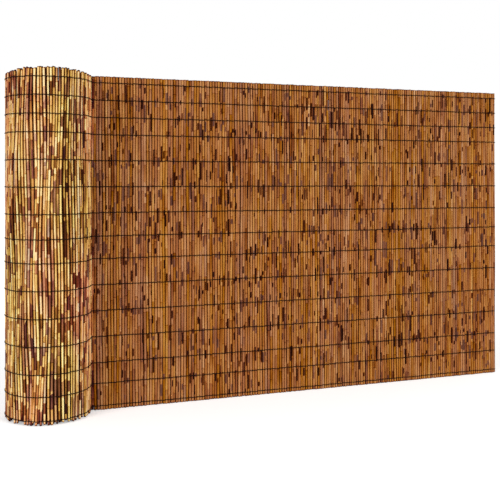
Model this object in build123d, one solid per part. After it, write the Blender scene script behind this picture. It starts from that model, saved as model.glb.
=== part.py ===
# Reed screen, partly unrolled: a roll that stands on its end, and the flat stretch drawn off it.
# The mat is two staggered layers of upright reeds, held by rows of wire on both of its faces.
# Its middle line in plan is a straight, a tight crease out of the roll, and a spiral inwards.
import os
from math import cos, pi, radians, sin, sqrt, tan

from build123d import *

# Driving dimensions, in millimetres, degrees and turns
screen_height = 1000.0  # length of the reeds, which stand upright
reed_diameter = 7.8
reed_pitch = 8.4  # from reed to reed along the mat
layer_offset = 4.6  # between the middles of the front and the back layer
unrolled_length = 1430.0  # flat stretch, from its free edge to the crease
crease_radius = 16.0  # to the middle of the mat
crease_angle = 79.0
core_radius = 71.0  # clear radius inside the roll
roll_turns = 2.45
wire_size = 2.0
wire_clearance = 0.2  # between a wire and the crests of the reeds
top_margin = 20.0  # from the reeds' top ends to the first row of wire
bottom_margin = 13.0  # from the last row of wire to the reeds' bottom ends
row_shares = [2, 2, 2, 3, 3, 3, 2.7, 2.6, 3, 3, 3, 3, 2.4, 2.6]  # spaces between rows, from the top
wire_facets = 22  # straight lengths of wire in one turn of the roll
crease_facets = 4
hidden_facets = 1  # wire facets left out where the mat runs in under its own crease

# Sizes that follow from them
mat_thickness = reed_diameter + layer_offset
half_mat = mat_thickness / 2
wire_room = wire_size + wire_clearance
turn_pitch = mat_thickness + 2 * wire_room
inner_radius = core_radius + wire_room + half_mat
outer_radius = inner_radius + roll_turns * turn_pitch
spiral_length = pi * (outer_radius**2 - inner_radius**2) / turn_pitch
crease_turn = radians(crease_angle)
crease_length = crease_radius * crease_turn
panel_reeds = round(unrolled_length / reed_pitch)
roll_reeds = int((crease_length + spiral_length) / reed_pitch)
straight_length = panel_reeds * reed_pitch

# A ridge is the upper three sides of an octagon round its reed; neighbours meet in a valley
crest_half = reed_diameter / 2 * tan(radians(22.5))
valley_depth = reed_pitch / 2 - crest_half

# Middle of the roll in plan, when the crease starts at x = straight_length from the free edge
crease_end = (-straight_length - crease_radius * sin(crease_turn), -crease_radius * (1 - cos(crease_turn)))
spiral_start = 1.5 * pi + crease_turn  # direction from the roll's middle to the crease's end
roll_middle = (
    crease_end[0] - outer_radius * cos(spiral_start),
    crease_end[1] - outer_radius * sin(spiral_start),
)


def spiral_radius(turned):
    return outer_radius - turn_pitch * turned / (2 * pi)


def mat_point(along, offset):
    """A point in plan: along the mat from its free edge, and offset from its middle to the front."""
    if along <= straight_length:
        return (-along, -offset)
    along -= straight_length
    if along <= crease_length:
        turned = along / crease_radius
        reach = crease_radius - offset
        return (-straight_length - reach * sin(turned), -crease_radius + reach * cos(turned))
    along -= crease_length
    turned = (outer_radius - sqrt(outer_radius**2 - turn_pitch * along / pi)) * 2 * pi / turn_pitch
    return spiral_point(turned, offset)


def spiral_point(turned, offset):
    reach = spiral_radius(turned) + offset
    direction = spiral_start - turned
    return (roll_middle[0] + reach * cos(direction), roll_middle[1] + reach * sin(direction))


def front_ridges(first, last):
    """The mat's front face in plan, which is the outer face on the roll."""
    points = [mat_point(first * reed_pitch, half_mat - valley_depth)]
    for reed in range(first, last):
        middle = (reed + 0.5) * reed_pitch
        points.append(mat_point(middle - crest_half, half_mat))
        points.append(mat_point(middle + crest_half, half_mat))
        points.append(mat_point((reed + 1) * reed_pitch, half_mat - valley_depth))
    return points


def back_ridges(first, last):
    """The mat's back face: its layer is half a pitch along, so each ridge stands behind a valley."""
    points = [mat_point(first * reed_pitch, -half_mat)]
    for reed in range(first, last):
        middle = (reed + 0.5) * reed_pitch
        points.append(mat_point(reed * reed_pitch + crest_half, -half_mat))
        points.append(mat_point(middle, -half_mat + valley_depth))
        points.append(mat_point((reed + 1) * reed_pitch - crest_half, -half_mat))
    points.append(mat_point(last * reed_pitch, -half_mat))
    return points


def inner_ridges(first, last):
    """The roll's inner face, with one edge to a ridge: it is seen only down the core."""
    points = [mat_point(first * reed_pitch, -half_mat)]
    for reed in range(first, last):
        points.append(mat_point((reed + 0.5) * reed_pitch, -half_mat + valley_depth))
        points.append(mat_point((reed + 1) * reed_pitch, -half_mat))
    return points


def front_wire():
    """A wire on the front face: straight, round the crease, then once round the outside of the roll."""
    near, far = half_mat + wire_clearance, half_mat + wire_room
    step = 2 * pi / wire_facets
    sides = []
    for offset in (near, far):
        side = [mat_point(0, offset)]
        for facet in range(crease_facets):
            side.append(mat_point(straight_length + crease_length * facet / crease_facets, offset))
        for facet in range(wire_facets - hidden_facets + 1):
            # a chord's ends stand out, so that its middle clears the reeds
            reach = spiral_radius(facet * step) + half_mat
            spread = reach / cos(step / 2) - reach
            side.append(spiral_point(facet * step, offset + spread))
        sides.append(side)
    return sides[0] + sides[1][::-1]


def back_wire():
    """A wire on the back face: straight, round the outside of the crease and into the roll."""
    near, far = half_mat + wire_clearance, half_mat + wire_room
    step = crease_turn / crease_facets
    reach = crease_radius + half_mat
    spread = reach / cos(step / 2) - reach
    sides = []
    for offset in (near, far):
        side = [mat_point(0, -offset), mat_point(straight_length, -offset)]
        for facet in range(1, crease_facets + 1):
            along = straight_length + crease_length * (facet - 0.5) / crease_facets
            side.append(mat_point(along, -offset - spread))
        side.append(mat_point(straight_length + crease_length, -offset))
        sides.append(side)
    return sides[0] + sides[1][::-1]


def wire_heights():
    """The middles of the rows of wire, from the top row down."""
    share = (screen_height - top_margin - bottom_margin) / sum(row_shares)
    heights = [screen_height - top_margin]
    for space in row_shares:
        heights.append(heights[-1] - space * share)
    return heights


def upright(outline, bottom, height):
    """A plan outline, moved so that the object's box is centred on the origin, drawn up from bottom."""
    points = [(x - plan_middle[0], y - plan_middle[1]) for x, y in outline]
    return Pos(0, 0, bottom) * extrude(Polygon(*points, align=None), height, dir=(0, 0, 1))


last_reed = panel_reeds + roll_reeds
panel_outline = front_ridges(0, panel_reeds) + back_ridges(0, panel_reeds)[::-1]
roll_outline = front_ridges(panel_reeds, last_reed) + inner_ridges(panel_reeds, last_reed)[::-1]
front_wire_outline = front_wire()
back_wire_outline = back_wire()

plan = panel_outline + roll_outline + front_wire_outline + back_wire_outline
plan_middle = [(min(p[axis] for p in plan) + max(p[axis] for p in plan)) / 2 for axis in (0, 1)]

nodes = {
    "panel_reeds": upright(panel_outline, 0, screen_height),
    "roll_reeds": upright(roll_outline, 0, screen_height),
}
for row, height in enumerate(wire_heights(), start=1):
    wire_bottom = height - wire_size / 2
    nodes[f"front_wire_{row:02d}"] = upright(front_wire_outline, wire_bottom, wire_size)
    nodes[f"back_wire_{row:02d}"] = upright(back_wire_outline, wire_bottom, wire_size)

os.makedirs("parts", exist_ok=True)
for name, solid in nodes.items():
    export_step(solid, f"parts/{name}.step")

mat_length = last_reed * reed_pitch
print(f"mat {mat_length:.0f} mm long, {mat_thickness:.1f} mm thick, {last_reed} reeds to a layer")
print(f"roll {2 * (outer_radius + half_mat + wire_room):.0f} mm across, its middle at", end=" ")
print([round(roll_middle[axis] - plan_middle[axis], 1) for axis in (0, 1)], "in plan")
print(f"free edge at x = {-plan_middle[0]:.1f}, middle of the flat stretch at y = {-plan_middle[1]:.1f}")
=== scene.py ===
import math
import random

import bpy
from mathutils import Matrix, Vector


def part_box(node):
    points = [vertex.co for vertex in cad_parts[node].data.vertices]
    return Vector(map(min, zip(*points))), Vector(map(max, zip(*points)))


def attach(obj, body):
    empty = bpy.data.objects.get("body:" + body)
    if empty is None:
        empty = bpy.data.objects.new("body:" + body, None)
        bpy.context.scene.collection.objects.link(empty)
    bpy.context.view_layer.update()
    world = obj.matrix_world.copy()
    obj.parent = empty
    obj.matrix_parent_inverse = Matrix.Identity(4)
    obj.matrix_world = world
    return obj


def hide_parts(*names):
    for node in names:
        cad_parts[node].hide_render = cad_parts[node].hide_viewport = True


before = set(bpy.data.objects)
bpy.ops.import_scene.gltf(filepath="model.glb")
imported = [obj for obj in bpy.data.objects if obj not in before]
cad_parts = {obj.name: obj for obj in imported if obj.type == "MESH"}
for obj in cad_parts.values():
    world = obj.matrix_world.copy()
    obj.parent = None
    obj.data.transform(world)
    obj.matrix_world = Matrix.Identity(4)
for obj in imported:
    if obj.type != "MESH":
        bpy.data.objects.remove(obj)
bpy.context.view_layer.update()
print("frame loaded,", len(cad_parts), "nodes")

# the mat as it lies: straight, a crease, then a spiral; metres and degrees
mat = {
    "reedPitch": 0.0084,
    "layerOffset": 0.0046,  # between the middles of the two layers
    "creaseRadius": 0.016,
    "creaseAngle": 79,
    "coreRadius": 0.071,
    "turns": 2.45,
    "wire": 0.002,  # as thick as in the solids
    "wireClearance": 0.0002,
    "rows": 15,
}

panelLow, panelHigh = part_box("panel_reeds")
matHeight = panelHigh[2]
freeEdge = panelHigh[0]
panelMiddle = (panelLow[1] + panelHigh[1]) / 2
halfMat = (panelHigh[1] - panelLow[1]) / 2
straight = panelHigh[0] - panelLow[0]
panelCount = round(straight / mat["reedPitch"])

creaseTurn = math.radians(mat["creaseAngle"])
creaseLength = mat["creaseRadius"] * creaseTurn
wireRoom = mat["wire"] + mat["wireClearance"]
turnPitch = 2 * (halfMat + wireRoom)
innerRadius = mat["coreRadius"] + wireRoom + halfMat
outerRadius = innerRadius + mat["turns"] * turnPitch
spiralLength = math.pi * (outerRadius**2 - innerRadius**2) / turnPitch
rollCount = int((creaseLength + spiralLength) / mat["reedPitch"])
reedCount = panelCount + rollCount
spiralStart = 1.5 * math.pi + creaseTurn  # direction from the roll's middle to the crease's end
creaseEndX = freeEdge - straight - mat["creaseRadius"] * math.sin(creaseTurn)
creaseEndY = panelMiddle - mat["creaseRadius"] * (1 - math.cos(creaseTurn))
rollX = creaseEndX - outerRadius * math.cos(spiralStart)
rollY = creaseEndY - outerRadius * math.sin(spiralStart)
wireBoxes = [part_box(f"front_wire_{row:02d}") for row in range(1, mat["rows"] + 1)]
rowHeights = [(low[2] + high[2]) / 2 for low, high in wireBoxes]


# a place on the mat's middle line, and the directions ahead and out of its front face
def matFrame(along):
    if along <= straight:
        return (freeEdge - along, panelMiddle), (-1.0, 0.0), (0.0, -1.0)
    along -= straight
    if along <= creaseLength:
        turned = along / mat["creaseRadius"]
        s, c = math.sin(turned), math.cos(turned)
        x = freeEdge - straight - mat["creaseRadius"] * s
        y = panelMiddle - mat["creaseRadius"] * (1 - c)
        return (x, y), (-c, -s), (s, -c)
    along -= creaseLength
    radius = math.sqrt(outerRadius**2 - turnPitch * along / math.pi)
    angle = spiralStart - (outerRadius - radius) * 2 * math.pi / turnPitch
    s, c = math.sin(angle), math.cos(angle)
    return (rollX + radius * c, rollY + radius * s), (s, -c), (c, s)


def spiralAlong(turned):  # length of mat from the free edge to a turn of the roll, in radians
    return straight + creaseLength + outerRadius * turned - turnPitch * turned**2 / (4 * math.pi)


def matPoint(along, offset, z):  # before the free edge it goes straight on
    place, ahead, out = matFrame(max(0.0, along))
    before = min(0.0, along)
    x, y = (place[axis] + out[axis] * offset + ahead[axis] * before for axis in (0, 1))
    return Vector((x, y, z))


def stepped(value, start, end):  # 0 at start, 1 at end, smooth between
    share = min(1.0, max(0.0, (value - start) / (end - start)))
    return share * share * (3 - 2 * share)


# camera at the photo's place: level, with the frame shifted down
camera = {
    "place": (-0.9483, -2.4169, 0.6872),
    "yaw": 19.62,
    "lens": 57.6,
    "sensor": 36,
    "shift": -0.139,
}


def addCamera():
    data = bpy.data.cameras.new("photoCamera")
    data.lens = camera["lens"]
    data.sensor_width = camera["sensor"]
    data.shift_y = camera["shift"]
    obj = bpy.data.objects.new("photoCamera", data)
    obj.location = camera["place"]
    obj.rotation_euler = (math.radians(90), 0, math.radians(-camera["yaw"]))
    bpy.context.collection.objects.link(obj)
    bpy.context.scene.camera = obj


def linear(rgb):  # 0 to 255 as seen, to what the shader wants
    out = [((c / 255 + 0.055) / 1.055) ** 2.4 if c > 10 else c / 255 / 12.92 for c in rgb]
    return (*out, 1.0)


def link(tree, fromNode, fromName, toNode, toName):
    tree.links.new(fromNode.outputs[fromName], toNode.inputs[toName])


def newMaterial(name):
    material = bpy.data.materials.new(name)
    material.use_nodes = True
    return material, material.node_tree, material.node_tree.nodes["Principled BSDF"]


def stretchedNoise(tree, stretch, detail):
    place = tree.nodes.new("ShaderNodeTexCoord")
    mapping = tree.nodes.new("ShaderNodeMapping")
    mapping.inputs["Scale"].default_value = stretch
    noise = tree.nodes.new("ShaderNodeTexNoise")
    noise.inputs["Scale"].default_value = 1.0
    noise.inputs["Detail"].default_value = detail
    link(tree, place, "Object", mapping, "Vector")
    link(tree, mapping, "Vector", noise, "Vector")
    return noise


def ranged(tree, source, outName, fromRange, toRange, clamp=True):
    node = tree.nodes.new("ShaderNodeMapRange")
    node.clamp = clamp
    node.inputs["From Min"].default_value, node.inputs["From Max"].default_value = fromRange
    node.inputs["To Min"].default_value, node.inputs["To Max"].default_value = toRange
    link(tree, source, outName, node, "Value")
    return node


def added(tree, first, firstName, second, secondName):
    node = tree.nodes.new("ShaderNodeMath")
    tree.links.new(first.outputs[firstName], node.inputs[0])
    tree.links.new(second.outputs[secondName], node.inputs[1])
    return node


def colourRamp(tree, source, outName, colours):
    ramp = tree.nodes.new("ShaderNodeValToRGB")
    stops = ramp.color_ramp.elements
    for at, colour in colours[1:-1]:
        stops.new(at)
    for stop, (at, colour) in zip(stops, colours):
        stop.position = at
        stop.color = linear(colour)
    link(tree, source, outName, ramp, "Fac")
    return ramp


def addBump(tree, shader, noise, strength, distance):
    bump = tree.nodes.new("ShaderNodeBump")
    bump.inputs["Strength"].default_value = strength
    bump.inputs["Distance"].default_value = distance
    link(tree, noise, "Fac", bump, "Height")
    link(tree, bump, "Normal", shader, "Normal")


# noises that both reed finishes share: how often each turns in a metre of x, y and z, and its detail
grain = {
    "blotches": ((90, 90, 34), 2),
    "clouds": ((26, 26, 9), 2),
    "flecks": ((330, 330, 110), 2),
    "patches": ((75, 75, 20), 2),
    "regions": ((7, 7, 3.5), 1),
}
# the height of a noise at which these start to show, and at which they are full
grainShows = {
    "flecks": (0.64, 0.72),
    "patches": (0.54, 0.70),
    "regions": (0.3, 0.7),
}
# dry reed, from dark sheath to pale straw: (tone, colour as seen)
panelFinish = {
    "name": "reedPanel",
    "ramp": [
        (0.0, (40, 9, 0)),
        (0.14, (88, 32, 2)),
        (0.28, (121, 58, 15)),
        (0.44, (152, 87, 37)),
        (0.60, (175, 111, 56)),
        (0.80, (194, 137, 83)),
        (1.0, (214, 166, 113)),
    ],
    "noises": {"streaks": ((420, 420, 7), 3), **grain},
    "streaks": 0.60,  # how far each of these moves the tone
    "blotches": 0.22,
    "clouds": 0.06,
    "flecks": 0.22,
    "hues": (0.495, 0.509),  # from least to most warmth, 0.5 being the ramp's own
    "warmth": 0.9,  # at which the hue is at either end
    "regions": 0.3,  # how far the hue drifts over a hand's breadth
    "greyed": {  # from one warmth to another, and the amounts there
        "Saturation": ((-2.6, 0.6), (0.72, 1.06)),
        "Value": ((-2.6, -0.2), (0.50, 1.0)),
    },
    "patches": 0.4,  # how far warmth falls in patches of weathered sheath
    "roughness": (0.48, 0.68),
    "shine": 0.03,
    "bump": (0.5, 0.0004),  # strength, and depth in metres
}
rollFinish = {
    "name": "reedRoll",
    "ramp": [
        (0.0, (58, 16, 6)),
        (0.16, (104, 45, 18)),
        (0.32, (143, 79, 36)),
        (0.50, (190, 122, 58)),
        (0.66, (225, 162, 92)),
        (0.82, (240, 191, 124)),
        (1.0, (251, 222, 168)),
    ],
    "noises": {"streaks": ((290, 290, 7), 3), **grain},
    "streaks": 0.80,
    "blotches": 0.30,
    "clouds": 0.20,
    "flecks": 0.20,
    "hues": (0.480, 0.527),
    "warmth": 1.2,
    "regions": 0.9,
    "greyed": {
        "Saturation": ((-2.6, -0.2), (0.73, 1.0)),
        "Value": ((-2.6, -0.2), (0.28, 1.0)),
    },
    "patches": 0.6,
    "roughness": (0.44, 0.64),
    "shine": 0.04,
    "bump": (0.5, 0.0004),
}
wireFinish = {
    "name": "bindingWire",
    "ramp": [(0.0, (14, 6, 3)), (1.0, (38, 20, 12))],
    "noise": ((260, 260, 260), 2),
    "roughness": 0.65,
    "shine": 0.05,
    "bump": (0.3, 0.0003),
}


def reedMaterial(finish):
    material, tree, shader = newMaterial(finish["name"])
    tone = tree.nodes.new("ShaderNodeAttribute")
    tone.attribute_name = "tone"
    noises = {name: stretchedNoise(tree, *form) for name, form in finish["noises"].items()}
    specks = ranged(tree, noises["flecks"], "Fac", grainShows["flecks"], (0.0, -finish["flecks"]))
    total = added(tree, tone, "Fac", specks, "Result")
    for name in ("streaks", "blotches", "clouds"):
        half = finish[name] / 2
        part = ranged(tree, noises[name], "Fac", (0.0, 1.0), (-half, half), clamp=False)
        total = added(tree, total, "Value", part, "Result")
    ramp = colourRamp(tree, total, "Value", finish["ramp"])
    reedWarm = tree.nodes.new("ShaderNodeAttribute")
    reedWarm.attribute_name = "warm"
    patches = ranged(tree, noises["patches"], "Fac", grainShows["patches"], (0.0, -finish["patches"]))
    warm = added(tree, reedWarm, "Fac", patches, "Result")
    drift = (-finish["regions"], finish["regions"])
    region = ranged(tree, noises["regions"], "Fac", grainShows["regions"], drift)
    hueFrom = (-finish["warmth"], finish["warmth"])
    hue = ranged(tree, added(tree, warm, "Value", region, "Result"), "Value", hueFrom, finish["hues"])
    turn = tree.nodes.new("ShaderNodeHueSaturation")
    link(tree, hue, "Result", turn, "Hue")
    for name, (warmths, amounts) in finish["greyed"].items():
        grey = ranged(tree, warm, "Value", warmths, amounts)
        link(tree, grey, "Result", turn, name)
    link(tree, ramp, "Color", turn, "Color")
    link(tree, turn, "Color", shader, "Base Color")
    shader.inputs["Specular IOR Level"].default_value = finish["shine"]
    rough = ranged(tree, noises["blotches"], "Fac", (0.0, 1.0), finish["roughness"])
    link(tree, rough, "Result", shader, "Roughness")
    addBump(tree, shader, noises["streaks"], *finish["bump"])
    return material


def wireMaterial(finish):
    material, tree, shader = newMaterial(finish["name"])
    noise = stretchedNoise(tree, *finish["noise"])
    ramp = colourRamp(tree, noise, "Fac", finish["ramp"])
    link(tree, ramp, "Color", shader, "Base Color")
    shader.inputs["Roughness"].default_value = finish["roughness"]
    shader.inputs["Specular IOR Level"].default_value = finish["shine"]
    addBump(tree, shader, noise, *finish["bump"])
    return material


sharpEdge = 50  # degrees between faces, which keeps the cut ends crisp


# one mesh in the making: points, faces, each point's tone and warmth, and each corner's place on the map
def newStore():
    return {"points": [], "faces": [], "tone": [], "warm": [], "map": []}


def storedPiece(store, pieceName, material, nodes):
    mesh = bpy.data.meshes.new(pieceName)
    mesh.from_pydata(store["points"], [], store["faces"])
    mesh.shade_smooth()
    if store["tone"]:
        for name in ("tone", "warm"):
            mesh.attributes.new(name, "FLOAT", "POINT").data.foreach_set("value", store[name])
        flat = [value for corner in store["map"] for value in corner]
        mesh.uv_layers.new(name="OFBake").data.foreach_set("uv", flat)
        mesh.set_sharp_from_angle(angle=math.radians(sharpEdge))
    mesh.materials.append(material)
    piece = bpy.data.objects.new(pieceName, mesh)
    bpy.context.collection.objects.link(piece)
    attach(piece, "root")
    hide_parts(*nodes)


def addRingFaces(store, start, ringCount, sides):  # walls from ring to ring, then the two ends
    for j in range(ringCount - 1):
        for k in range(sides):
            a, b = start + j * sides + k, start + j * sides + (k + 1) % sides
            store["faces"].append((a, b, b + sides, a + sides))
    last = start + (ringCount - 1) * sides
    store["faces"] += [tuple(range(start, start + sides))[::-1], tuple(range(last, last + sides))]


# how the reeds differ, on the flat stretch and on the roll; lengths in metres
panelReeds = {
    "sides": 10,
    "radius": (0.0035, 0.0041),
    "taper": 0.10,  # share of the radius, from end to end
    "endTop": 0.0015,  # how far an end falls short, at most
    "endBottom": 0.0015,
    "crown": (0.0, 0.0),
    "cutSlant": 0.0004,
    "sway": 0.0012,  # to one side, with the neighbours
    "bow": 0.0006,  # of a reed by itself
    "proud": 0.0003,  # out of its layer
    "joint": (0.09, 0.23),  # from a joint to the next
    "tone": (0.625, 0.04),  # middle and spread, from reed to reed
    "darkShare": 0.0,  # of reeds that are darker all over
    "darkTone": (0.0, 0.0),
    "jointTone": 0.05,  # spread from joint to joint
    "drift": 0.06,  # of the tone, slowly along a reed
    "warm": (0.32, 0.20),  # from reed to reed, and from joint to joint
    "sheathShare": 0.28,
    "sheathTone": (-0.08, 0.09),
    "sheathWarm": 0.6,  # how far warmth can fall
    "valleyTone": (0.30, 0.62),  # painted shade: how much darker a reed is painted on the sides that its neighbours cover and shade
    "valleyFrom": (0.80, 0.10),  # from crest 1 to side 0: where that painted shade starts and is full
    "endDark": 0.40,  # tone lost at the cut ends
}
rollReeds = {
    "sides": 10,
    "radius": (0.0026, 0.0036),
    "taper": 0.14,
    "endTop": 0.006,
    "endBottom": 0.013,
    "crown": (-0.005, 0.009),  # of the top ends, at the roll's sides and at its front
    "cutSlant": 0.0010,
    "sway": 0.0044,
    "bow": 0.0014,
    "proud": 0.0006,
    "joint": (0.035, 0.115),
    "tone": (0.85, 0.07),
    "darkShare": 0.12,
    "darkTone": (0.60, 0.09),
    "jointTone": 0.09,
    "drift": 0.08,
    "warm": (0.32, 0.35),
    "sheathShare": 0.44,
    "sheathTone": (-0.34, 0.13),
    "sheathWarm": 1.1,
    "valleyTone": (0.34, 0.64),
    "valleyFrom": (0.92, 0.30),
    "endDark": 0.85,
}
# what both kinds share
reedForm = {
    "cutSlant": (0.2, 1),  # share of the kind's slant
    "endPower": 1.5,  # above 1, most ends are near the mat's edge
    "taper": (0.3, 1),  # share of the kind's taper
    "drift": (9, 45),  # radians in a metre, for two slow waves of tone
    "firstJoint": (0.2, 1),  # share of the shortest joint, below the cut end
    "sheath": (0.25, 0.9),  # share of the way to the next joint
    "sheathSize": 1.05,
    "bowWaves": 1.5,  # half waves up a reed
    "bowOut": 0.3,  # share of a bow that goes out of the mat's face
}
# dark marks in loose groups: on the flat stretch thin black ones and wider ones of greyed sheath, many of
# them by a row of wire, and on the roll longer ones that go round a reed
panelMarks = {
    "groups": 1000,
    "reeds": 7,  # at most, in a group
    "length": (0.015, 0.060),
    "stagger": 0.024,
    "nearWire": 0.6,
    "dark": {"tone": (-0.30, -0.05), "warm": (-1.6, 0.2), "halfWidth": (30, 46), "offCrest": 60},
    "grey": {"tone": (0.20, 0.40), "warm": (-2.4, -1.6), "halfWidth": (40, 65), "offCrest": 40},
    "darkShare": 0.68,
}
rollMarks = {
    "groups": 150,
    "reeds": 6,
    "length": (0.030, 0.090),
    "stagger": 0.026,
    "nearWire": 0.3,
    "dark": {"tone": (0.22, 0.38), "warm": (-0.5, 0.2), "halfWidth": (80, 120), "offCrest": 20},
    "grey": {"tone": (0.36, 0.52), "warm": (-1.4, -0.5), "halfWidth": (80, 120), "offCrest": 20},
    "darkShare": 0.55,
}
markForm = {
    "fromEnd": 0.02,
    "offWire": 0.015,  # at most, for a group near a row of wire
    "fewPower": 2,  # above 1, most groups are small
    "shortPower": 1.6,  # above 1, most marks are short
    "step": (1, 1, 2),  # reeds to the next mark of a group
}
# slow waves that carry neighbouring reeds to one side together; radians to a reed and to a metre
sway = {
    "waves": 6,
    "acrossReeds": (0.10, 0.55),
    "upReed": (2.0, 14.0),
}
# over the first reeds of the crease and the roll, the look goes from that of the flat stretch to
# the roll's own
creaseBlend = {
    "sway": (2, 26),  # reeds past the flat stretch, from and to
    "radius": (5, 14),
    "crown": (0, 4),
    "tone": (1, 6),
    "toneDrop": 0.14,  # in the shade of the crease
}
# rings up the outside of a reed
ringing = {
    "cap": 0.0015,  # half height of a joint's swelling
    "capDark": 0.10,  # tone lost just below a joint
    "jointDark": 0.34,
    "jointSize": 1.12,
    "jointFromEnd": 0.012,
    "beside": 0.0001,  # from a joint to the looks on its two sides
    "edge": 0.0003,  # half height of a sheath's edge
    "tip": (0.002, 0.010),  # how far a sheath's edge runs up one side
    "blur": 0.003,  # at a dark mark's ends
    "clear": 0.004,  # least distance between rings of different things
    "near": 0.02,  # other rings this near a mark have to be clear of its ends
    "fade": 0.0038,  # from a darkened end to the reed's own tone
    "longest": 0.07,  # between rings
    "plain": 0.25,  # where a reed doesn't show
}
seen = {
    "outerTurn": 6.5,  # radians of the roll's outer turn that show from outside
    "creaseReeds": 8,
    "coreReeds": 60,  # reeds of the last turn, seen down the core
}
outerEnd = int(spiralAlong(seen["outerTurn"]) / mat["reedPitch"])


def makeSway(rng):
    ranges = (sway["acrossReeds"], sway["upReed"], (0, 2 * math.pi))
    return [[rng.uniform(*limits) for limits in ranges] for wave in range(sway["waves"])]


def addMarks(rng, marks, kind, first, last):  # marks by the number of their reed
    for group in range(kind["groups"]):
        reed = rng.randrange(first, last)
        z = rng.uniform(markForm["fromEnd"], matHeight - markForm["fromEnd"])
        if rng.random() < kind["nearWire"]:
            z = rng.choice(rowHeights) + rng.uniform(-markForm["offWire"], markForm["offWire"])
        for step in range(1 + int(kind["reeds"] * rng.random() ** markForm["fewPower"])):
            shortest, longest = kind["length"]
            length = shortest + (longest - shortest) * rng.random() ** markForm["shortPower"]
            low = z + rng.uniform(-1, 1) * kind["stagger"] - length / 2
            style = kind["dark" if rng.random() < kind["darkShare"] else "grey"]
            mark = {"low": low, "high": low + length}
            mark["tone"], mark["warm"] = rng.uniform(*style["tone"]), rng.uniform(*style["warm"])
            mark["half"] = math.radians(rng.uniform(*style["halfWidth"]))
            mark["centre"] = math.radians(rng.uniform(-1, 1) * style["offCrest"])
            marks.setdefault(reed, []).append(mark)
            reed += rng.choice(markForm["step"])


def isSeen(number, layer):  # on the roll the front layer is outside, and the back layer inside
    if number < panelCount + seen["creaseReeds"]:
        return True
    if layer > 0:
        return number <= outerEnd
    return number >= reedCount - seen["coreReeds"]


def blended(number, what, onPanel, onRoll):  # across the crease
    return onPanel + (onRoll - onPanel) * stepped(number - panelCount, *creaseBlend[what])


def crownAt(number, kind):  # how far a top end stands above the mat's edge
    outward = matFrame(number * mat["reedPitch"])[2]
    atSide, atFront = kind["crown"]
    return blended(number, "crown", 0.0, atSide + (atFront - atSide) * max(0.0, -outward[1]))


def cutBack(rng, most):  # how far an end falls short
    return rng.random() ** reedForm["endPower"] * most


def makeReed(rng, number, layer, kind, marks):
    slants = [rng.uniform(*reedForm["cutSlant"]) * kind["cutSlant"] for end in range(2)]
    reed = {
        "number": number,
        "along": (number + (0.5 if layer > 0 else 0.0)) * mat["reedPitch"],  # staggered layers
        "layer": layer,
        "kind": kind,
        "low": slants[0] + cutBack(rng, kind["endBottom"]),
        "high": matHeight + crownAt(number, kind) - slants[1] - cutBack(rng, kind["endTop"]),
        "slants": slants,
        "turns": [rng.uniform(0, 2 * math.pi) for end in range(2)],
        "radius": blended(
            number, "radius", rng.uniform(*panelReeds["radius"]), rng.uniform(*kind["radius"])
        ),
        "taper": rng.choice((-1, 1)) * rng.uniform(*reedForm["taper"]) * kind["taper"],
        "bow": rng.gauss(0, 1) * kind["bow"],
        "bowTurn": rng.uniform(0, 2 * math.pi),
        "proud": rng.gauss(0, 1) * kind["proud"],
        "phase": rng.uniform(0, 1),
        # how deep this reed's painted shade is, on the sides that face into the mat
        "valley": rng.uniform(*kind["valleyTone"]),
        "drifts": [(rng.uniform(*reedForm["drift"]), rng.uniform(0, 2 * math.pi)) for wave in range(2)],
        "spans": [],
        "joints": [],
    }
    # from a joint to the next, with a sheath over part of the way on some
    tone = rng.gauss(*kind["darkTone" if rng.random() < kind["darkShare"] else "tone"])
    warm = rng.gauss(0, kind["warm"][0])
    if number >= panelCount:
        tone -= blended(number, "tone", creaseBlend["toneDrop"], 0.0)
    z = reed["low"] - rng.uniform(*reedForm["firstJoint"]) * kind["joint"][0]
    while z < reed["high"]:
        gap = rng.uniform(*kind["joint"])
        look = {"tone": tone + rng.gauss(0, kind["jointTone"])}
        look["warm"] = warm + rng.gauss(0, kind["warm"][1])
        covered = gap * rng.uniform(*reedForm["sheath"]) if rng.random() < kind["sheathShare"] else 0.0
        if covered:
            sheath = {"tone": look["tone"] + rng.gauss(*kind["sheathTone"])}
            sheath["size"] = reedForm["sheathSize"]
            sheath["warm"] = look["warm"] - rng.uniform(0.0, kind["sheathWarm"])
            sheath["tip"] = rng.uniform(*ringing["tip"]), rng.uniform(0, 2 * math.pi)
            reed["spans"].append((z, z + covered, sheath))
        reed["spans"].append((z + covered, z + gap, dict(look, size=1.0)))
        reed["joints"].append(z)
        z += gap
    reed["marks"] = marks
    return reed


def reedShift(reed, z):  # sideways and outward, from the reed's own place
    share = z / matHeight
    bend = math.pi * share * reedForm["bowWaves"] + reed["bowTurn"]
    waves = sum(math.sin(a * reed["number"] + b * z + c) for a, b, c in swayWaves)
    waves /= math.sqrt(len(swayWaves))
    amount = blended(reed["number"], "sway", panelReeds["sway"], rollReeds["sway"])
    side = amount * waves + reed["bow"] * math.sin(bend)
    return side, reed["proud"] + reedForm["bowOut"] * reed["bow"] * math.cos(bend)


def reedRadius(reed, z):
    return reed["radius"] * (1 + reed["taper"] * (z / matHeight - 0.5))


def lookAt(reed, z):  # of the sheath or bare reed at a height
    for low, high, look in reed["spans"]:
        if z < high:
            return look
    return reed["spans"][-1][2]


def ring(z, look, slant=0.0, turn=0.0, mark=None):
    return {"z": z, "look": look, "slant": slant, "turn": turn, "mark": mark}


def darkEnd(reed, z):
    look = lookAt(reed, z)
    return dict(look, tone=look["tone"] - reed["kind"]["endDark"])


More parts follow.
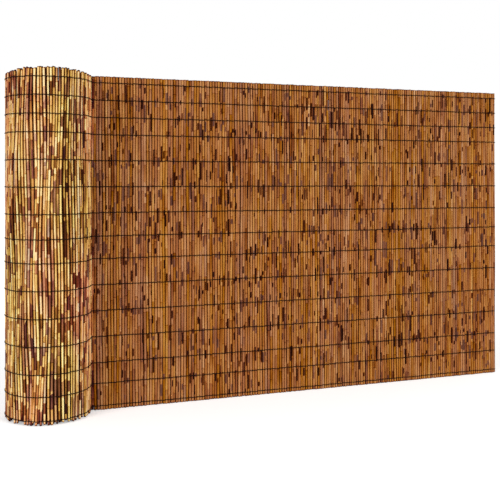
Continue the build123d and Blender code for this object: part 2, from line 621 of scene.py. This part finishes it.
def reedRings(reed):
    low, high = reed["low"], reed["high"]
    rings = [ring(low, darkEnd(reed, low), reed["slants"][0], reed["turns"][0])]
    rings.append(ring(high, darkEnd(reed, high), reed["slants"][1], reed["turns"][1]))
    longest = ringing["plain"]
    if isSeen(reed["number"], reed["layer"]):
        longest = ringing["longest"]
        rings += [ring(z, lookAt(reed, z)) for z in (low + ringing["fade"], high - ringing["fade"])]
        rings += jointRings(reed) + sheathRings(reed)
        for mark in reed["marks"]:
            rings += markRings(reed, mark, rings)
    rings.sort(key=lambda r: r["z"])
    full = [rings[0]]
    for after in rings[1:]:
        before = full[-1]
        steps = int((after["z"] - before["z"]) / longest)
        for i in range(1, steps + 1):
            z = before["z"] + (after["z"] - before["z"]) * i / (steps + 1)
            full.append(ring(z, lookAt(reed, z)))
        full.append(after)
    return full


def farFrom(z, others, distance):
    return all(abs(z - other) > distance for other in others)


def jointRings(reed):
    rings = []
    cap, beside, fromEnd = ringing["cap"], ringing["beside"], ringing["jointFromEnd"]
    for z in reed["joints"]:
        if reed["low"] + fromEnd < z < reed["high"] - fromEnd:
            below, above = lookAt(reed, z - beside), lookAt(reed, z + beside)
            rings.append(ring(z - cap, dict(below, tone=below["tone"] - ringing["capDark"])))
            joint = dict(above, tone=above["tone"] - ringing["jointDark"], size=ringing["jointSize"])
            rings += [ring(z, joint), ring(z + cap, above)]
    return rings


def sheathRings(reed):
    rings = []
    for i, (low, high, look) in enumerate(reed["spans"][:-1]):
        ends = reed["joints"] + [reed["low"], reed["high"]]
        if "tip" in look and reed["low"] < high < reed["high"]:
            slant, turn = look["tip"]
            if farFrom(high, ends, slant + ringing["clear"]):
                for shift, side in ((-1, look), (1, reed["spans"][i + 1][2])):
                    rings.append(ring(high + shift * ringing["edge"], side, slant, turn))
    return rings


def markRings(reed, mark, taken):
    low, high = mark["low"], mark["high"]
    if low < reed["low"] + ringing["clear"] or high > reed["high"] - ringing["clear"]:
        return []
    within = [r for r in taken if low - ringing["near"] < r["z"] < high + ringing["near"]]
    stops = (low, low + ringing["blur"], high - ringing["blur"], high)
    for r in within:
        if r["mark"] or not farFrom(r["z"], stops, r["slant"] + ringing["clear"]):
            return []
    full = dict(mark, strength=1.0)
    for r in within:
        if low < r["z"] < high:
            r["mark"] = full
    covers = (dict(mark, strength=0.0), full, full, dict(mark, strength=0.0))
    return [ring(z, lookAt(reed, z), mark=cover) for z, cover in zip(stops, covers)]


# a cut end is a pale rim round a hollow with a near-black floor, which is painted shade; sizes are shares
# of the reed's own
cutEnd = {
    "edge": {"size": 0.92, "depth": 0.0, "tone": 0.66, "warm": 0.2, "cut": True},
    "rim": {"size": 0.60, "depth": 0.0004, "tone": 0.62, "warm": 0.2, "cut": True},
    # the hollow's floor, painted near black as painted shade
    "inside": {"size": 0.54, "depth": 0.006, "tone": 0.02, "warm": 0.0, "cut": True},
}


def endRings(last, inward):  # from the outside of a reed into its hollow
    rings = []
    for look in cutEnd.values():
        rings.append(ring(last["z"] + inward * look["depth"], look, last["slant"], last["turn"]))
    return rings


def surfaceLook(reed, r, angle):  # tone and warmth
    tone, warm = r["look"]["tone"], r["look"]["warm"]
    if "cut" in r["look"]:
        return tone, warm
    tone += reed["kind"]["drift"] * sum(math.sin(k * r["z"] + turn) for k, turn in reed["drifts"])
    mark = r["mark"]
    if mark:
        away = math.cos(angle - reed["layer"] * math.pi / 2 - mark["centre"])
        cover = mark["strength"] * stepped(away, math.cos(mark["half"]), math.cos(mark["half"] / 2))
        tone += (mark["tone"] - tone) * cover
        warm += (mark["warm"] - warm) * cover
    # painted shade: the sides that face into the mat, between the reeds, are painted darker
    facing = reed["layer"] * math.sin(angle)
    return tone - reed["valley"] * stepped(facing, *reed["kind"]["valleyFrom"]), warm


# a reed's column on the map: what is left free at its edges, and the rows of its cut ends
mapRoom = {
    "column": 0.04,
    "row": 0.01,
    "ends": [0.002, 0.004, 0.007],
    "floor": 0.001,
}


def mapColumn(index, share, count):
    return (index + mapRoom["column"] + (1 - 2 * mapRoom["column"]) * share) / count


def addReed(store, reed, index, count):
    sides = reed["kind"]["sides"]
    outside = reedRings(reed)
    rings = endRings(outside[0], 1)[::-1] + outside + endRings(outside[-1], -1)
    reach = (1 - 2 * mapRoom["row"]) / (reed["high"] - reed["low"])
    mapRows = [mapRoom["row"] + (r["z"] - reed["low"]) * reach for r in outside]
    mapRows = mapRoom["ends"] + mapRows + [1 - v for v in mapRoom["ends"][::-1]]
    layerOut = reed["layer"] * mat["layerOffset"] / 2
    place, ahead, outward = matFrame(reed["along"])
    start = len(store["points"])
    for r in rings:
        side, out = reedShift(reed, r["z"])
        radius = reedRadius(reed, r["z"]) * r["look"]["size"]
        for k in range(sides):
            angle = 2 * math.pi * (k + reed["phase"]) / sides
            a = side + radius * math.cos(angle)
            o = layerOut + out + radius * math.sin(angle)
            x = place[0] + ahead[0] * a + outward[0] * o
            y = place[1] + ahead[1] * a + outward[1] * o
            store["points"].append((x, y, r["z"] + r["slant"] * math.cos(angle - r["turn"])))
            tone, warm = surfaceLook(reed, r, angle)
            store["tone"].append(tone)
            store["warm"].append(warm)
    addRingFaces(store, start, len(rings), sides)
    for v1, v2 in zip(mapRows, mapRows[1:]):
        for k in range(sides):
            u1, u2 = mapColumn(index, k / sides, count), mapColumn(index, (k + 1) / sides, count)
            store["map"] += [(u1, v1), (u2, v1), (u2, v2), (u1, v2)]
    for v in (mapRoom["floor"], 1 - mapRoom["floor"]):
        store["map"] += [((index + 0.5) / count, v)] * sides


def makeLayer(rng, layer):
    marks = {}
    addMarks(rng, marks, panelMarks, 0, panelCount)
    addMarks(rng, marks, rollMarks, panelCount + seen["creaseReeds"], outerEnd)
    reeds = []
    for number in range(reedCount):
        kind = rollReeds if number >= panelCount else panelReeds
        reeds.append(makeReed(rng, number, layer, kind, marks.get(number, [])))
    return reeds


layerParts = 4  # pieces to a layer of each stretch, so that none is too big


def addReeds(layerName, reeds, materials):
    for stretch, first, last in (("panel", 0, panelCount), ("roll", panelCount, reedCount)):
        for part in range(layerParts):
            low = first + (last - first) * part // layerParts
            high = first + (last - first) * (part + 1) // layerParts
            store = newStore()
            for index, reed in enumerate(reeds[low:high]):
                addReed(store, reed, index, high - low)
            name = f"{stretch}_{layerName}_{part + 1}"
            storedPiece(store, name, materials[stretch], [f"{stretch}_reeds"])
            print(name, len(store["faces"]), "faces")


# two strands are twisted round the reeds in turn, so each face shows runs of wire that meet between
# groups of reeds
twine = {
    "radius": 0.0013,
    "bite": 0.0004,  # into a reed's crest
    "group": 3,
    "rise": 0.0007,  # of a run, from where it comes out to where it goes in
    "dip": 0.0007,  # between reeds of a group
    "shoulder": 0.0006,  # halfway down the last reed's side
    "dive": 0.0034,  # at a run's ends
    "overlap": 0.0008,  # past halfway to the next reed
    "wander": 0.0006,  # of a run, up or down
    "sides": 5,
}


def wireRun(reeds, z, rng):  # out of the mat, over a group of reeds and in again
    layer = reeds[0]["layer"]
    crests = []
    for reed in reeds:
        side, out = reedShift(reed, z)
        offset = layer * mat["layerOffset"] / 2 + out
        height = reedRadius(reed, z) + twine["radius"] - twine["bite"]
        crests.append((reed["along"] + side, offset + layer * height))
    half = mat["reedPitch"] / 2
    first, last = crests[0], crests[-1]
    route = [(first[0] - half - twine["overlap"], first[1] - layer * twine["dive"])]
    route.append((first[0] - half / 2, first[1] - layer * twine["shoulder"]))
    for here, after in zip(crests, crests[1:]):
        lower = min(here[1], after[1], key=abs)
        route += [here, ((here[0] + after[0]) / 2, lower - layer * twine["dip"])]
    route += [last, (last[0] + half / 2, last[1] - layer * twine["shoulder"])]
    route.append((last[0] + half + twine["overlap"], last[1] - layer * twine["dive"]))
    middle = z + rng.uniform(-1, 1) * twine["wander"]
    points = []
    for i, (along, offset) in enumerate(route):
        rise = twine["rise"] * (2 * i / (len(route) - 1) - 1)
        points.append(matPoint(along, offset, middle + rise))
    return points


def addTube(store, points, radius, sides):
    start = len(store["points"])
    for i, point in enumerate(points):
        ahead = (points[min(i + 1, len(points) - 1)] - points[max(i - 1, 0)]).normalized()
        side = ahead.cross(Vector((0, 0, 1))).normalized()
        up = ahead.cross(side)
        for k in range(sides):
            angle = 2 * math.pi * k / sides
            around = math.cos(angle) * side + math.sin(angle) * up
            store["points"].append(tuple(point + radius * around))
    addRingFaces(store, start, len(points), sides)


def addWires(rng, front, back, material):
    creaseEnd = panelCount + seen["creaseReeds"]
    stretches = {"front": [front[:outerEnd]], "back": [back[:creaseEnd], back[-seen["coreReeds"]:]]}
    group = twine["group"]
    for row, z in enumerate(rowHeights, start=1):
        for face, faceReeds in stretches.items():
            store = newStore()
            for reeds in faceReeds:
                for i in range(0, len(reeds), group):
                    run = wireRun(reeds[i : i + group], z, rng)
                    addTube(store, run, twine["radius"], twine["sides"])
            storedPiece(store, f"{face}_twine_{row:02d}", material, [f"{face}_wire_{row:02d}"])
    print("twine,", mat["rows"], "rows on each face")


# white surroundings that still take a soft shadow; lights from both sides keep the roll even
studio = {
    "floorSize": 60.0,
    "floorColour": (0.80, 0.80, 0.80, 1),
    "floorRoughness": 0.9,
    "floorLift": 0.36,  # light of its own, where the floor is seen directly
    "skyStrength": 0.62,
    "lights": {
        "leftLight": {"strength": 1.32, "from": (-0.85, -0.53, 0.55)},
        "rightLight": {"strength": 1.26, "from": (0.64, -0.77, 0.55)},
    },
    "softness": 24,  # degrees across a light
}


def seenDirectly(tree):  # 1 for rays that should meet plain white
    path = tree.nodes.new("ShaderNodeLightPath")
    shiny = added(tree, path, "Is Glossy Ray", path, "Is Transmission Ray")
    total = added(tree, path, "Is Camera Ray", shiny, "Value")
    total.use_clamp = True
    return total


def addFloor():
    half = studio["floorSize"] / 2
    mesh = bpy.data.meshes.new("floor")
    corners = [(-half, -half, 0), (half, -half, 0), (half, half, 0), (-half, half, 0)]
    mesh.from_pydata(corners, [], [(0, 1, 2, 3)])
    floor = bpy.data.objects.new("floor", mesh)
    bpy.context.collection.objects.link(floor)
    material, tree, shader = newMaterial("paleFloor")
    shader.inputs["Base Color"].default_value = studio["floorColour"]
    shader.inputs["Roughness"].default_value = studio["floorRoughness"]
    shader.inputs["Specular IOR Level"].default_value = 0.0
    lift = tree.nodes.new("ShaderNodeMath")
    lift.operation = "MULTIPLY"
    lift.inputs[1].default_value = studio["floorLift"]
    tree.links.new(seenDirectly(tree).outputs["Value"], lift.inputs[0])
    shader.inputs["Emission Color"].default_value = (1, 1, 1, 1)
    link(tree, lift, "Value", shader, "Emission Strength")
    mesh.materials.append(material)


def addSky():
    world = bpy.data.worlds.new("studioSky")
    world.use_nodes = True
    tree = world.node_tree
    sky = tree.nodes["Background"]
    sky.inputs["Color"].default_value = (1, 1, 1, 1)
    strength = ranged(tree, seenDirectly(tree), "Value", (0.0, 1.0), (studio["skyStrength"], 1.0))
    link(tree, strength, "Result", sky, "Strength")
    bpy.context.scene.world = world


def addLights():
    for name, look in studio["lights"].items():
        data = bpy.data.lights.new(name, "SUN")
        data.energy = look["strength"]
        data.angle = math.radians(studio["softness"])
        light = bpy.data.objects.new(name, data)
        light.rotation_euler = Vector(look["from"]).to_track_quat("Z", "Y").to_euler()
        bpy.context.collection.objects.link(light)


addCamera()
addFloor()
addSky()
addLights()
print("camera and studio set")

reedSeed = 5  # another number gives other reeds of the same kinds
rng = random.Random(reedSeed)
reedMaterials = {"panel": reedMaterial(panelFinish), "roll": reedMaterial(rollFinish)}
swayWaves = makeSway(rng)
frontReeds = makeLayer(rng, 1)
backReeds = makeLayer(rng, -1)
addReeds("front", frontReeds, reedMaterials)
addReeds("back", backReeds, reedMaterials)
addWires(rng, frontReeds, backReeds, wireMaterial(wireFinish))

bpy.context.scene.view_settings.view_transform = "Standard"
print("reed screen done")
